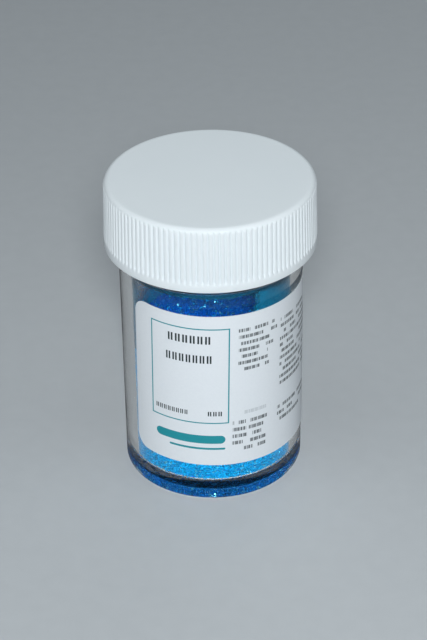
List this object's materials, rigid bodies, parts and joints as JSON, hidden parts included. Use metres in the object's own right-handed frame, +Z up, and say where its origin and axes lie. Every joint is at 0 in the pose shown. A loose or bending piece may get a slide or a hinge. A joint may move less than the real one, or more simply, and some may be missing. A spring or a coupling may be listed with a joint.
{
  "type": "screw-cap specimen vial",
  "caption": "Clear straight-walled plastic vial with a finely ribbed white screw cap, foam liner, wrap-round paper label and a bed of blue crystals inside.",
  "frame": {"origin": "centre of the foot, on the jar's axis, in the plane the vial stands on", "axes": "+Z up along the jar's axis towards the cap; -Y is the front, where the label's framed panel faces"},
  "size_m": [0.0354, 0.0354, 0.0542],
  "materials": {
    "clear_plastic": "clear, polished, injection-moulded",
    "cap_plastic": "satin white, moulded",
    "liner_foam": "white closed-cell foam",
    "label_paper": "semi-gloss white label stock",
    "crystals": "fine blue crystals, loose"
  },
  "bodies": {
    "jar": {"jar_body": "clear_plastic", "label": "label_paper", "crystal_fill": "crystals"},
    "liner": {"cap_liner": "liner_foam"},
    "cap": {"screw_cap": "cap_plastic"}
  },
  "joints": [
    {"name": "cap_lift", "type": "slide", "parent": "jar", "child": "liner", "axis": [0, 0, 1], "range_m": [0, 0.01271]},
    {"name": "cap_turn", "type": "hinge", "parent": "liner", "child": "cap", "pos_m": [0, 0, 0.0429], "axis": [0, 0, 1], "range_deg": [0, 1080]}
  ],
  "couplings": [
    {"joint": "cap_lift", "follows": "cap_turn", "m_per_rad": 0.00067375}
  ]
}
